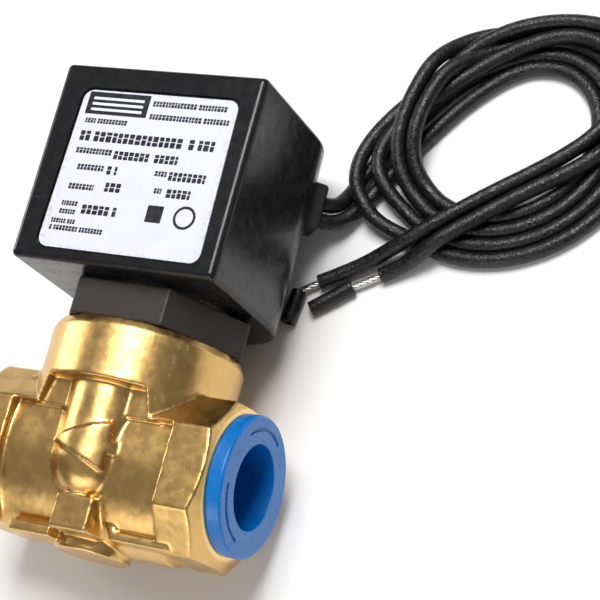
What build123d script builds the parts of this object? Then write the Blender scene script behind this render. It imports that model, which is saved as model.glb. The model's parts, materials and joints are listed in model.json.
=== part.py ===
from build123d import *
import os
from math import atan, cos, pi, radians, sin, tan

os.makedirs("parts", exist_ok=True)

# A pilot-operated solenoid valve with its two leads, lying on its back on a table.
# All sizes are in millimetres. In the valve's own frame, x runs along the flow axis
# towards the plugged inlet, y runs from the label side to the back, and z runs up
# the bonnet axis from the flow axis. In the row's frame, +Z is up from the table.

# Moulded coil housing
COIL_WIDTH = 42.0
COIL_FRONT = 20.8
COIL_BACK = 19.8
COIL_SHIFT = -0.8
COIL_BASE = 30.4
COIL_HEIGHT = 38.5
COIL_TOP = COIL_BASE + COIL_HEIGHT
COIL_BACK_RADIUS = 15.5
COIL_EDGE = 1.3
LABEL_WIDTH = 32.0
LABEL_HEIGHT = 31.0
LABEL_FLARE = 0.65
LABEL_CENTRE_X = -0.1
LABEL_CENTRE_Z = COIL_BASE + 17.9
LABEL_THICKNESS = 0.3

# Forged brass body
PORT_FACE = 25.0
PORT_FLAT = 14.1
PORT_TOP = 13.2
PORT_FOOT = 15.2
FLAT_HALF = 7.3
PORT_INNER = 16.4
SHOULDER_INNER = 9.0
NECK_RADIUS = 18.0
NECK_TOP = 22.6
NECK_CHAMFER = 0.8
COLLAR_FOOT = 6.0
ARCH_TOP = 11.3
ARCH_HALF = 9.8
ARCH_SPREAD = 1.9
BARREL_HALF_DEPTH = 12.8
BARREL_HALF_HEIGHT = 16.4
BOSS_RADIUS = 7.8
BOSS_CENTRE = 7.8
BOSS_DOME = -2.0
ARROW_PROUD = 0.55
ARROW_REACH = 6.2
ARROW_TAIL = 8.4
ARROW_HALF = 4.4
THREAD_RADIUS = 9.3
THREAD_DEPTH = 11.5
ORIFICE_RADIUS = 5.55
SEAT_TOP = 12.4
SEAT_OUTER = 7.2
CHAMBER_RADIUS = 12.4
CHAMBER_FLOOR = 4.5
BONNET_THREAD = 15.4
PILOT_PASSAGE = 0.8
PILOT_PLACE = 13.95

# Bonnet, sleeve and plunger
HEX_FLATS = 32.0
HEX_TURN = 1.8
HEX_TOP = COIL_BASE - 0.9
CLAMP_LEVEL = 14.4
CHAMBER_CEILING = 18.3
SPRING_RECESS = 20.3
PILOT_CHANNEL = 21.6
SLEEVE_SEAT = 23.4
SLEEVE_OUTER = 6.7
SLEEVE_INNER = 6.3
SLEEVE_TOP = 67.4
PLUNGER_RADIUS = 6.22
PLUNGER_BOTTOM = 25.4
PLUNGER_TOP = 46.0
PLUNGER_STROKE = 1.5
CORE_BOTTOM = 47.6
NOZZLE_TOP = 24.8
STUD_RADIUS = 3.3
DIAPHRAGM_LIFT = 2.8

# Coil pieces
BORE_RADIUS = 6.78
BOBBIN_BOTTOM = 34.2
BOBBIN_TOP = 64.2
FLANGE_RADIUS = 15.0
WINDING_RADIUS = 14.4
YOKE_HALF_WIDTH = 18.4
YOKE_HALF_DEPTH = 10.2
YOKE_PLATE = 2.4
YOKE_BOTTOM = BOBBIN_BOTTOM - YOKE_PLATE
YOKE_TOP = BOBBIN_TOP + YOKE_PLATE

# Leads
LEAD_DIAMETER = 3.0
LEAD_PITCH = 3.4
STRAND_DIAMETER = 1.2
GROMMET_ANGLE = 38.0
GROMMET_LEVEL = 57.8
GROMMET_HEIGHT = 9.0
GROMMET_WIDTH = 6.4
GROMMET_PROUD = 2.4
GROMMET_ROOT = COIL_BACK_RADIUS - 1.6
GROMMET_FACE = COIL_BACK_RADIUS + GROMMET_PROUD

# Inlet plug
PLUG_RADIUS = 12.7
PLUG_FLANGE = 2.8
PLUG_HOLE = 7.7
PLUG_SPIGOT = 9.22
PLUG_REACH = 10.0
PLUG_EDGE = 0.4
PLUG_FLOOR = 1.4
GROOVE_RADIUS = 10.3
GROOVE_WIDTH = 0.6
GROOVE_DEPTH = 0.45
GROOVE_SWEEP = 70

# The valve rests on the foot of its collar and on the housing's lower back edge.
LEAN = atan((COIL_BACK - NECK_RADIUS) / (COIL_BASE - COLLAR_FOOT))
AXIS_HEIGHT = NECK_RADIUS * cos(LEAN) - COLLAR_FOOT * sin(LEAN)
# The row's origin lies on the table under the middle of the valve.
VALVE_X = -PLUG_FLANGE / 2
VALVE_Y = -27.77

up_bonnet = Vector(0, cos(LEAN), sin(LEAN))
to_back = Vector(0, sin(LEAN), -cos(LEAN))
along_flow = Vector(1, 0, 0)
valve_centre = Vector(VALVE_X, VALVE_Y, AXIS_HEIGHT)
bonnet_axis = Axis(valve_centre, up_bonnet)
flow_axis = Axis(valve_centre, along_flow)


def at(x, y, z):
    """The row position of a point given in the valve's own frame."""
    return valve_centre + along_flow * x + to_back * y + up_bonnet * z


def level(z):
    """A plane square to the bonnet axis: local x along the flow, local y to the back."""
    return Plane(origin=at(0, 0, z), x_dir=along_flow, z_dir=up_bonnet)


def front(y):
    """A plane facing the label side: local x along the flow, local y up the bonnet."""
    return Plane(origin=at(0, y, 0), x_dir=along_flow, z_dir=-to_back)


def across(x):
    """A plane square to the flow axis: local x to the back, local y up the bonnet."""
    return Plane(origin=at(x, 0, 0), x_dir=to_back, z_dir=along_flow)


def ring_profile(inner, outer, low, high):
    """A rectangle for revolving about the bonnet axis."""
    with Locations(((inner + outer) / 2, (low + high) / 2)):
        Rectangle(outer - inner, high - low)


def finish(piece, name):
    """Name a finished piece and write its STEP file."""
    piece.part.label = name
    export_step(piece.part, f"parts/{name}.step")


# ---------------------------------------------------------------- forged body
octagon = [
    (-PORT_FLAT, -FLAT_HALF - 1.0),
    (-FLAT_HALF, -PORT_FOOT),
    (FLAT_HALF, -PORT_FOOT),
    (PORT_FLAT, -FLAT_HALF - 1.0),
    (PORT_FLAT, FLAT_HALF - 1.0),
    (FLAT_HALF, PORT_TOP),
    (-FLAT_HALF, PORT_TOP),
    (-PORT_FLAT, FLAT_HALF - 1.0),
]

# Raised flow arrow, pointing from the inlet to the outlet, wrapped round the boss
with BuildPart() as flow_arrow:
    with BuildSketch(front(-BOSS_CENTRE)):
        with BuildLine():
            Polyline(
                (-ARROW_REACH, 0),
                (ARROW_REACH - 1.0, -ARROW_HALF),
                (ARROW_REACH - 1.0, ARROW_HALF),
                close=True,
            )
        make_face()
        with Locations((ARROW_TAIL / 2, 0)):
            Rectangle(ARROW_TAIL, ARROW_HALF / 2)
    extrude(amount=BOSS_RADIUS + ARROW_PROUD)
    with BuildSketch(level(-2 * ARROW_HALF)):
        with Locations((0, -BOSS_CENTRE)):
            Circle(BOSS_RADIUS + ARROW_PROUD)
    extrude(amount=4 * ARROW_HALF, mode=Mode.INTERSECT)

with BuildPart() as valve_body:
    # The two wrench octagons, joined across the top by their shoulders
    for start in (-PORT_FACE, PORT_INNER):
        with BuildSketch(across(start)):
            with BuildLine():
                Polyline(*octagon, close=True)
            make_face()
        extrude(amount=PORT_FACE - PORT_INNER)
    # Each port end is turned to a cone
    with BuildSketch(front(0)):
        with BuildLine():
            Polyline(
                (-PORT_FACE, 0),
                (-PORT_FACE, 13.1),
                (-PORT_FACE + 2.2, 17.2),
                (PORT_FACE - 2.2, 17.2),
                (PORT_FACE, 13.1),
                (PORT_FACE, 0),
                close=True,
            )
        make_face()
    revolve(axis=flow_axis, mode=Mode.INTERSECT)
    with BuildSketch(across(-PORT_INNER)):
        with BuildLine():
            Polyline(*octagon, close=True)
        make_face()
        with Locations((0, -PORT_FOOT)):
            Rectangle(4 * PORT_FLAT, 2 * (PORT_FOOT + FLAT_HALF - 1.0), mode=Mode.SUBTRACT)
    extrude(amount=2 * PORT_INNER)
    # Barrel between the ports
    with BuildSketch(across(-PORT_INNER)):
        Ellipse(BARREL_HALF_DEPTH, BARREL_HALF_HEIGHT)
    extrude(amount=2 * PORT_INNER)
    # Neck
    with BuildSketch(front(0)):
        with BuildLine():
            Polyline(
                (0, COLLAR_FOOT),
                (NECK_RADIUS, COLLAR_FOOT),
                (NECK_RADIUS, NECK_TOP - 2 * NECK_CHAMFER),
                (NECK_RADIUS - NECK_CHAMFER, NECK_TOP),
                (0, NECK_TOP),
                close=True,
            )
        make_face()
    revolve(axis=bonnet_axis)
    # Arch cut out of the collar at the front
    with BuildSketch(front(-BARREL_HALF_DEPTH)):
        with BuildLine():
            Polyline(
                (-ARCH_HALF - ARCH_SPREAD, COLLAR_FOOT - 2.0),
                (ARCH_HALF + ARCH_SPREAD, COLLAR_FOOT - 2.0),
                (ARCH_HALF, ARCH_TOP),
                (-ARCH_HALF, ARCH_TOP),
                close=True,
            )
        make_face()
    extrude(amount=10.0, mode=Mode.SUBTRACT)
    # Half-round boss under the arch, with a rounded lower end
    with BuildSketch(level(BOSS_DOME)):
        with Locations((0, -BOSS_CENTRE)):
            Circle(BOSS_RADIUS)
    extrude(amount=ARCH_TOP + 0.5 - BOSS_DOME)
    with BuildSketch(front(-BOSS_CENTRE)):
        with BuildLine():
            Line((0, BOSS_DOME), (BOSS_RADIUS, BOSS_DOME))
            CenterArc((0, BOSS_DOME), BOSS_RADIUS, 0, -90)
            Line((0, BOSS_DOME - BOSS_RADIUS), (0, BOSS_DOME))
        make_face()
    revolve(axis=Axis(at(0, -BOSS_CENTRE, 0), up_bonnet))
    # Round pad under the barrel
    with BuildSketch(level(-17.5)):
        Circle(7.0)
    extrude(amount=6.0)
    add(flow_arrow.part)
    # Square pad and raised bars along the lower front
    with BuildSketch(front(-6.0)):
        with Locations((0.7, -12.0)):
            Rectangle(7.6, 6.2)
    extrude(amount=6.4)
    with BuildSketch(front(-3.0)):
        with Locations((-9.0, -15.5)):
            Rectangle(8.6, 1.9)
        with Locations((13.0, -14.2)):
            Rectangle(11.8, 1.7)
        with BuildLine():
            Polyline((4.6, -10.6), (6.4, -10.6), (9.0, -14.6), (7.1, -14.6), close=True)
        make_face()
    extrude(amount=5.6)
    # Port bores with their countersinks
    for side in (-1, 1):
        with BuildSketch(front(0)):
            with BuildLine():
                Polyline(
                    (side * (PORT_FACE - THREAD_DEPTH), 0),
                    (side * (PORT_FACE - THREAD_DEPTH), THREAD_RADIUS),
                    (side * (PORT_FACE - 1.2), THREAD_RADIUS),
                    (side * PORT_FACE, THREAD_RADIUS + 1.2),
                    (side * PORT_FACE, 0),
                    close=True,
                )
            make_face()
        revolve(axis=flow_axis, mode=Mode.SUBTRACT)
    # Inlet passage into the ring chamber, outlet passage up to the seat
    with BuildSketch(across(8.2)):
        Circle(6.4)
    extrude(amount=7.0, mode=Mode.SUBTRACT)
    with BuildSketch(across(-15.0)):
        with Locations((0, -2.4)):
            Circle(ORIFICE_RADIUS)
    extrude(amount=15.0, mode=Mode.SUBTRACT)
    with BuildSketch(level(-4.0)):
        Circle(ORIFICE_RADIUS)
    extrude(amount=SEAT_TOP + 4.0 + 4.0, mode=Mode.SUBTRACT)
    with BuildSketch(front(0)):
        ring_profile(SEAT_OUTER, CHAMBER_RADIUS, CHAMBER_FLOOR, SEAT_TOP)
    revolve(axis=bonnet_axis, mode=Mode.SUBTRACT)
    with BuildSketch(level(SEAT_TOP)):
        Circle(BONNET_THREAD)
    extrude(amount=NECK_TOP - SEAT_TOP + 1.0, mode=Mode.SUBTRACT)
    # Pilot passage down the boss and across to the outlet
    with BuildSketch(level(-1.0)):
        with Locations((0, -PILOT_PLACE)):
            Circle(PILOT_PASSAGE)
    extrude(amount=SEAT_TOP + 2.0, mode=Mode.SUBTRACT)
    with BuildSketch(front(-4.0)):
        with Locations((0, -1.0)):
            Circle(PILOT_PASSAGE)
    extrude(amount=PILOT_PLACE - 4.0, mode=Mode.SUBTRACT)
finish(valve_body, "valve_body")

# ---------------------------------------------------------------- inlet plug
with BuildPart() as inlet_plug:
    with BuildSketch(front(0)):
        with BuildLine():
            Polyline(
                (PORT_FACE - PLUG_REACH, 0),
                (PORT_FACE - PLUG_REACH, PLUG_SPIGOT - 0.8),
                (PORT_FACE - PLUG_REACH + 0.8, PLUG_SPIGOT),
                (PORT_FACE, PLUG_SPIGOT),
                (PORT_FACE, PLUG_RADIUS),
                (PORT_FACE + PLUG_FLANGE - PLUG_EDGE, PLUG_RADIUS),
                (PORT_FACE + PLUG_FLANGE, PLUG_RADIUS - PLUG_EDGE),
                (PORT_FACE + PLUG_FLANGE, PLUG_HOLE),
                (PORT_FACE - PLUG_REACH + PLUG_FLOOR, PLUG_HOLE),
                (PORT_FACE - PLUG_REACH + PLUG_FLOOR, 0),
                close=True,
            )
        make_face()
    revolve(axis=flow_axis)
    # Shallow crescent grooves in the flange's face
    with BuildSketch(across(PORT_FACE + PLUG_FLANGE)):
        for middle in (95.0, 225.0):
            first = middle - GROOVE_SWEEP / 2
            with BuildLine():
                rim = CenterArc(
                    (0, 0), GROOVE_RADIUS + GROOVE_WIDTH / 2, first, GROOVE_SWEEP
                )
                root = CenterArc(
                    (0, 0), GROOVE_RADIUS - GROOVE_WIDTH / 2, first, GROOVE_SWEEP
                )
                Line(rim @ 0, root @ 0)
                Line(rim @ 1, root @ 1)
            make_face()
    extrude(amount=-GROOVE_DEPTH, mode=Mode.SUBTRACT)
finish(inlet_plug, "inlet_plug")

# ---------------------------------------------------------------- main diaphragm
with BuildPart() as diaphragm:
    with BuildSketch(front(0)):
        with BuildLine():
            Polyline(
                (2.05, SEAT_TOP),
                (8.4, SEAT_TOP),
                (9.4, SEAT_TOP + 0.9),
                (11.6, SEAT_TOP + 0.9),
                (12.6, SEAT_TOP),
                (BONNET_THREAD - 0.05, SEAT_TOP),
                (BONNET_THREAD - 0.05, CLAMP_LEVEL),
                (12.6, CLAMP_LEVEL),
                (11.4, SEAT_TOP + 1.9),
                (9.4, SEAT_TOP + 1.9),
                (8.4, SEAT_TOP + 1.4),
                (2.05, SEAT_TOP + 1.4),
                close=True,
            )
        make_face()
    revolve(axis=bonnet_axis)
    # Bleed hole through the web, pilot hole through the bead
    with BuildSketch(level(SEAT_TOP - 1.0)):
        with Locations((10.5, 0)):
            Circle(0.5)
        with Locations((0, -PILOT_PLACE)):
            Circle(0.9)
    extrude(amount=4.0, mode=Mode.SUBTRACT)
finish(diaphragm, "diaphragm")

with BuildPart() as backing_plate:
    with BuildSketch(front(0)):
        ring_profile(2.05, 8.4, SEAT_TOP + 1.4, SEAT_TOP + 2.6)
    revolve(axis=bonnet_axis)
finish(backing_plate, "diaphragm_backing_plate")

with BuildPart() as centre_rivet:
    with BuildSketch(front(0)):
        with BuildLine():
            Polyline(
                (0, SEAT_TOP - 1.2),
                (3.4, SEAT_TOP - 1.2),
                (3.4, SEAT_TOP),
                (2.0, SEAT_TOP),
                (2.0, SEAT_TOP + 2.6),
                (3.1, SEAT_TOP + 2.6),
                (3.1, SEAT_TOP + 3.6),
                (0, SEAT_TOP + 3.6),
                close=True,
            )
        make_face()
    revolve(axis=bonnet_axis)
finish(centre_rivet, "diaphragm_rivet")


def coil_spring(mean_radius, wire, low, high, turns):
    """A round-wire compression spring about the bonnet axis, between two levels."""
    rise = high - low - wire
    with BuildPart() as spring:
        with BuildLine():
            path = Helix(
                pitch=rise / turns,
                height=rise,
                radius=mean_radius,
                center=tuple(at(0, 0, low + wire / 2)),
                direction=tuple(up_bonnet),
            )
        with BuildSketch(Plane(origin=path @ 0, z_dir=path % 0)):
            Circle(wire / 2)
        sweep(is_frenet=True)
    return spring


diaphragm_spring = coil_spring(4.2, 0.6, SEAT_TOP + 2.6, SPRING_RECESS, 4.5)
finish(diaphragm_spring, "diaphragm_spring")

# ---------------------------------------------------------------- bonnet
with BuildPart() as bonnet:
    with BuildSketch(level(CLAMP_LEVEL)):
        Circle(BONNET_THREAD - 0.05)
    extrude(amount=NECK_TOP - CLAMP_LEVEL)
    with BuildSketch(level(NECK_TOP)):
        RegularPolygon(HEX_FLATS / 2, 6, major_radius=False, rotation=HEX_TURN)
    extrude(amount=HEX_TOP - NECK_TOP)
    # Chamber over the diaphragm, with a recess for its spring
    with BuildSketch(level(CLAMP_LEVEL)):
        Circle(CHAMBER_RADIUS)
    extrude(amount=CHAMBER_CEILING - CLAMP_LEVEL, mode=Mode.SUBTRACT)
    with BuildSketch(level(CLAMP_LEVEL)):
        Circle(5.0)
    extrude(amount=SPRING_RECESS - CLAMP_LEVEL, mode=Mode.SUBTRACT)
    # Sleeve socket, with the groove for its seal
    with BuildSketch(level(SLEEVE_SEAT)):
        Circle(SLEEVE_OUTER + 0.02)
    extrude(amount=HEX_TOP - SLEEVE_SEAT, mode=Mode.SUBTRACT)
    with BuildSketch(front(0)):
        ring_profile(SLEEVE_OUTER, SLEEVE_OUTER + 1.6, 26.0, 27.6)
    revolve(axis=bonnet_axis, mode=Mode.SUBTRACT)
    # Feed hole from the chamber to the plunger, nozzle socket, and pilot channel
    with BuildSketch(level(CHAMBER_CEILING - 1.0)):
        with Locations((5.6, 0)):
            Circle(0.7)
    extrude(amount=SLEEVE_SEAT - CHAMBER_CEILING + 2.0, mode=Mode.SUBTRACT)
    with BuildSketch(level(PILOT_CHANNEL)):
        Circle(2.2)
    extrude(amount=SLEEVE_SEAT - PILOT_CHANNEL + 0.5, mode=Mode.SUBTRACT)
    with BuildSketch(front(0)):
        with Locations((0, PILOT_CHANNEL)):
            Circle(PILOT_PASSAGE)
    extrude(amount=PILOT_PLACE, mode=Mode.SUBTRACT)
    with BuildSketch(level(CLAMP_LEVEL)):
        with Locations((0, -PILOT_PLACE)):
            Circle(PILOT_PASSAGE)
    extrude(amount=PILOT_CHANNEL - CLAMP_LEVEL, mode=Mode.SUBTRACT)
finish(bonnet, "bonnet")

with BuildPart() as pilot_nozzle:
    with BuildSketch(front(0)):
        with BuildLine():
            Polyline(
                (0.6, PILOT_CHANNEL + 0.9),
                (2.2, PILOT_CHANNEL + 0.9),
                (2.2, SLEEVE_SEAT),
                (1.2, NOZZLE_TOP),
                (0.6, NOZZLE_TOP),
                close=True,
            )
        make_face()
    revolve(axis=bonnet_axis)
finish(pilot_nozzle, "pilot_nozzle")

with BuildPart() as sleeve_o_ring:
    with BuildSketch(front(0)):
        with Locations((SLEEVE_OUTER + 0.8, 26.8)):
            Circle(0.78)
    revolve(axis=bonnet_axis)
finish(sleeve_o_ring, "sleeve_o_ring")

with BuildPart() as sleeve_tube:
    with BuildSketch(front(0)):
        ring_profile(SLEEVE_INNER, SLEEVE_OUTER, SLEEVE_SEAT, SLEEVE_TOP)
    revolve(axis=bonnet_axis)
finish(sleeve_tube, "sleeve_tube")

with BuildPart() as fixed_core:
    with BuildSketch(front(0)):
        with BuildLine():
            Polyline(
                (0, CORE_BOTTOM),
                (SLEEVE_INNER - 0.02, CORE_BOTTOM),
                (SLEEVE_INNER - 0.02, SLEEVE_TOP),
                (STUD_RADIUS, SLEEVE_TOP),
                (STUD_RADIUS, COIL_TOP + 4.1),
                (STUD_RADIUS - 0.5, COIL_TOP + 4.6),
                (0, COIL_TOP + 4.6),
                close=True,
            )
        make_face()
    revolve(axis=bonnet_axis)
    # Groove for the shading ring
    with BuildSketch(front(0)):
        ring_profile(4.4, 5.4, CORE_BOTTOM, CORE_BOTTOM + 1.6)
    revolve(axis=bonnet_axis, mode=Mode.SUBTRACT)
finish(fixed_core, "fixed_core")

with BuildPart() as shading_ring:
    with BuildSketch(front(0)):
        ring_profile(4.42, 5.38, CORE_BOTTOM, CORE_BOTTOM + 1.6)
    revolve(axis=bonnet_axis)
finish(shading_ring, "shading_ring")

# ---------------------------------------------------------------- plunger
with BuildPart() as plunger:
    with BuildSketch(front(0)):
        with BuildLine():
            Polyline(
                (2.5, PLUNGER_BOTTOM),
                (PLUNGER_RADIUS, PLUNGER_BOTTOM),
                (PLUNGER_RADIUS, PLUNGER_TOP),
                (3.1, PLUNGER_TOP),
                (3.1, 36.0),
                (0, 36.0),
                (0, 26.8),
                (2.5, 26.8),
                close=True,
            )
        make_face()
    revolve(axis=bonnet_axis)
    # Flutes that let the fluid pass along the plunger
    with BuildSketch(level(PLUNGER_BOTTOM)):
        with PolarLocations(PLUNGER_RADIUS, 4, start_angle=45):
            Circle(0.8)
    extrude(amount=PLUNGER_TOP - PLUNGER_BOTTOM, mode=Mode.SUBTRACT)
finish(plunger, "plunger")

with BuildPart() as plunger_seal:
    with BuildSketch(level(NOZZLE_TOP)):
        Circle(2.48)
    extrude(amount=26.8 - NOZZLE_TOP)
finish(plunger_seal, "plunger_seal")

plunger_spring = coil_spring(2.4, 0.5, 36.0, CORE_BOTTOM, 7)
finish(plunger_spring, "plunger_spring")

# ---------------------------------------------------------------- coil
with BuildPart() as bobbin:
    with BuildSketch(front(0)):
        with BuildLine():
            Polyline(
                (BORE_RADIUS, BOBBIN_BOTTOM),
                (FLANGE_RADIUS, BOBBIN_BOTTOM),
                (FLANGE_RADIUS, BOBBIN_BOTTOM + 1.2),
                (7.8, BOBBIN_BOTTOM + 1.2),
                (7.8, BOBBIN_TOP - 1.2),
                (FLANGE_RADIUS, BOBBIN_TOP - 1.2),
                (FLANGE_RADIUS, BOBBIN_TOP),
                (BORE_RADIUS, BOBBIN_TOP),
                close=True,
            )
        make_face()
    revolve(axis=bonnet_axis)
finish(bobbin, "bobbin")

with BuildPart() as winding:
    with BuildSketch(front(0)):
        ring_profile(7.8, WINDING_RADIUS, BOBBIN_BOTTOM + 1.2, BOBBIN_TOP - 1.2)
    revolve(axis=bonnet_axis)
finish(winding, "winding")

with BuildPart() as winding_tape:
    with BuildSketch(front(0)):
        ring_profile(WINDING_RADIUS, FLANGE_RADIUS, BOBBIN_BOTTOM + 1.2, BOBBIN_TOP - 1.2)
    revolve(axis=bonnet_axis)
finish(winding_tape, "winding_tape")

with BuildPart() as yoke_frame:
    with BuildSketch(front(-YOKE_HALF_DEPTH)):
        with BuildLine():
            Polyline(
                (-YOKE_HALF_WIDTH, YOKE_BOTTOM),
                (YOKE_HALF_WIDTH, YOKE_BOTTOM),
                (YOKE_HALF_WIDTH, YOKE_TOP - YOKE_PLATE),
                (YOKE_HALF_WIDTH - YOKE_PLATE, YOKE_TOP - YOKE_PLATE),
                (YOKE_HALF_WIDTH - YOKE_PLATE, BOBBIN_BOTTOM),
                (-YOKE_HALF_WIDTH + YOKE_PLATE, BOBBIN_BOTTOM),
                (-YOKE_HALF_WIDTH + YOKE_PLATE, YOKE_TOP - YOKE_PLATE),
                (-YOKE_HALF_WIDTH, YOKE_TOP - YOKE_PLATE),
                close=True,
            )
        make_face()
    extrude(amount=-2 * YOKE_HALF_DEPTH)
    with BuildSketch(level(YOKE_BOTTOM)):
        Circle(BORE_RADIUS)
    extrude(amount=YOKE_PLATE, mode=Mode.SUBTRACT)
finish(yoke_frame, "yoke_frame")

with BuildPart() as yoke_end_plate:
    with BuildSketch(level(BOBBIN_TOP)):
        Rectangle(2 * YOKE_HALF_WIDTH, 2 * YOKE_HALF_DEPTH)
        Circle(BORE_RADIUS, mode=Mode.SUBTRACT)
    extrude(amount=YOKE_PLATE)
finish(yoke_end_plate, "yoke_end_plate")

grommet_centre = (
    COIL_SHIFT + COIL_WIDTH / 2 - COIL_BACK_RADIUS,
    COIL_BACK - COIL_BACK_RADIUS,
)
grommet_out = (
    along_flow * cos(radians(GROMMET_ANGLE)) + to_back * sin(radians(GROMMET_ANGLE))
)


def grommet_plane(reach):
    """A plane square to the leads' way out: local x up the bonnet axis."""
    start = at(*grommet_centre, GROMMET_LEVEL) + grommet_out * reach
    return Plane(origin=start, x_dir=up_bonnet, z_dir=grommet_out)




def label_outline(margin):
    """The nameplate's outline, a little wider at its lower edge."""
    half_high = LABEL_HEIGHT / 2 + margin
    half_wide = LABEL_WIDTH / 2 + margin
    with Locations((LABEL_CENTRE_X, LABEL_CENTRE_Z)):
        Polygon(
            (-half_wide - LABEL_FLARE, -half_high),
            (half_wide + LABEL_FLARE, -half_high),
            (half_wide, half_high),
            (-half_wide, half_high),
            align=None,
        )


with BuildPart() as coil_housing:
    with BuildSketch(level(COIL_BASE)) as plan:
        with Locations((COIL_SHIFT, (COIL_BACK - COIL_FRONT) / 2)):
            Rectangle(COIL_WIDTH, COIL_FRONT + COIL_BACK)
        corners = plan.vertices().group_by(Axis.Y)
        fillet(corners[-1], COIL_BACK_RADIUS)
        fillet(plan.vertices().group_by(Axis.Y)[0], COIL_EDGE)
    extrude(amount=COIL_HEIGHT)
    ends = coil_housing.faces().filter_by(Axis(valve_centre, up_bonnet))
    fillet(ends.edges(), COIL_EDGE - 0.2)
    # Shallow recess for the nameplate
    with BuildSketch(front(-COIL_FRONT)) as recess:
        label_outline(0.5)
        fillet(recess.vertices(), 2.4)
    extrude(amount=-0.4, mode=Mode.SUBTRACT)
    # Cavity filled by the bobbin, the yoke and the sleeve
    with BuildSketch(level(BOBBIN_BOTTOM)):
        Circle(FLANGE_RADIUS)
    extrude(amount=BOBBIN_TOP - BOBBIN_BOTTOM, mode=Mode.SUBTRACT)
    for low in (YOKE_BOTTOM, BOBBIN_TOP):
        with BuildSketch(level(low)):
            Rectangle(2 * YOKE_HALF_WIDTH, 2 * YOKE_HALF_DEPTH)
        extrude(amount=YOKE_PLATE, mode=Mode.SUBTRACT)
    with BuildSketch(level(BOBBIN_BOTTOM)):
        for side in (-1, 1):
            with Locations((side * (YOKE_HALF_WIDTH - YOKE_PLATE / 2), 0)):
                Rectangle(YOKE_PLATE, 2 * YOKE_HALF_DEPTH)
    extrude(amount=BOBBIN_TOP - BOBBIN_BOTTOM, mode=Mode.SUBTRACT)
    with BuildSketch(level(COIL_BASE)):
        Circle(BORE_RADIUS)
    extrude(amount=COIL_HEIGHT, mode=Mode.SUBTRACT)
    # Pocket for the lead grommet
    with BuildSketch(grommet_plane(GROMMET_ROOT)):
        Rectangle(GROMMET_HEIGHT, GROMMET_WIDTH)
    extrude(amount=GROMMET_FACE - GROMMET_ROOT, mode=Mode.SUBTRACT)
finish(coil_housing, "coil_housing")

with BuildPart() as nameplate:
    with BuildSketch(front(-COIL_FRONT + 0.4)) as plate:
        label_outline(0)
        fillet(plate.vertices(), 2.0)
    extrude(amount=LABEL_THICKNESS)
finish(nameplate, "nameplate")

with BuildPart() as lead_grommet:
    with BuildSketch(grommet_plane(GROMMET_ROOT)):
        Rectangle(GROMMET_HEIGHT, GROMMET_WIDTH)
    extrude(amount=GROMMET_FACE - GROMMET_ROOT)
    outer = lead_grommet.faces().sort_by(Axis(valve_centre, grommet_out))[-1]
    fillet(outer.edges(), 0.8)
finish(lead_grommet, "lead_grommet")

# ---------------------------------------------------------------- coil fastening
with BuildPart() as base_washer:
    with BuildSketch(front(0)):
        ring_profile(BORE_RADIUS, 12.5, HEX_TOP, COIL_BASE)
    revolve(axis=bonnet_axis)
finish(base_washer, "coil_base_washer")

with BuildPart() as spring_washer:
    with BuildSketch(front(0)):
        ring_profile(STUD_RADIUS + 0.05, 8.0, COIL_TOP, COIL_TOP + 0.7)
    revolve(axis=bonnet_axis)
finish(spring_washer, "spring_washer")

with BuildPart() as retaining_nut:
    with BuildSketch(level(COIL_TOP + 0.7)):
        RegularPolygon(5.5, 6, major_radius=False)
        Circle(STUD_RADIUS + 0.02, mode=Mode.SUBTRACT)
    extrude(amount=3.2)
finish(retaining_nut, "retaining_nut")

# ---------------------------------------------------------------- leads
# Each lead leaves the grommet, drops to the table and runs into the loose loops. It
# comes out of them across the lower edge and ends in bare strands, with a slug of
# insulation still on their tips.
LOOPS_CENTRE = (48.0, 53.0)
LOOPS_OUTER = (29.5, 26.0)
LOOPS_INNER = (16.5, 12.0)
LOOPS_TURN = 20.0
LOOPS_HEIGHT = 8.8
ON_TABLE = LEAD_DIAMETER / 2
EXIT_RUN = 2.4


def lead_exit(step):
    """The middle of a lead on the grommet's face, one step up or down the bonnet axis."""
    middle = grommet_plane(GROMMET_FACE).origin
    return middle + up_bonnet * (step * LEAD_PITCH / 2)


def corner_radii(points):
    """The largest arc that each corner's two runs leave room for."""
    radii = []
    for before, corner, after in zip(points, points[1:], points[2:]):
        run_in = corner - before
        run_out = after - corner
        half_turn = radians(run_in.get_angle(run_out) / 2)
        radii.append(0.45 * min(run_in.length, run_out.length) / tan(half_turn))
    return radii


def lead_tube(route, name):
    """A round tube along straight runs joined by arcs."""
    points = [Vector(*point) for point in route]
    radii = corner_radii(points)
    with BuildPart() as tube:
        with BuildLine() as line:
            FilletPolyline(*points, radius=radii)
        path = line.wires()[0]
        with BuildSketch(Plane(origin=path @ 0, z_dir=path % 0)):
            Circle(LEAD_DIAMETER / 2)
        sweep(path=path)
    section = pi * LEAD_DIAMETER**2 / 4
    print(name, "radii", [round(r, 1) for r in radii], "length", round(path.length, 1),
          "volume over section", round(tube.part.volume / section, 1))
    return tube


exit_a = lead_exit(1)
exit_b = lead_exit(-1)
start_a_route = [
    tuple(exit_a),
    tuple(exit_a + grommet_out * EXIT_RUN),
    (20.3, 35.6, 3.1),
    (21.1, 39.3, 1.7),
    (22.7, 43.1, ON_TABLE),
]
start_b_route = [
    tuple(exit_b),
    tuple(exit_b + grommet_out * EXIT_RUN),
    (21.6, 31.8, 2.8),
    (23.6, 35.6, 1.6),
    (25.8, 39.6, ON_TABLE),
]
tail_a_route = [
    (43.4, 30.0, 5.0),
    (39.4, 26.6, 4.1),
    (35.1, 23.6, 2.0),
    (31.2, 21.5, ON_TABLE),
]
tail_b_route = [
    (39.2, 30.9, 5.0),
    (34.2, 27.3, 4.0),
    (28.3, 23.7, 2.1),
    (23.2, 20.8, 1.55),
    (19.2, 18.6, ON_TABLE),
]

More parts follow.
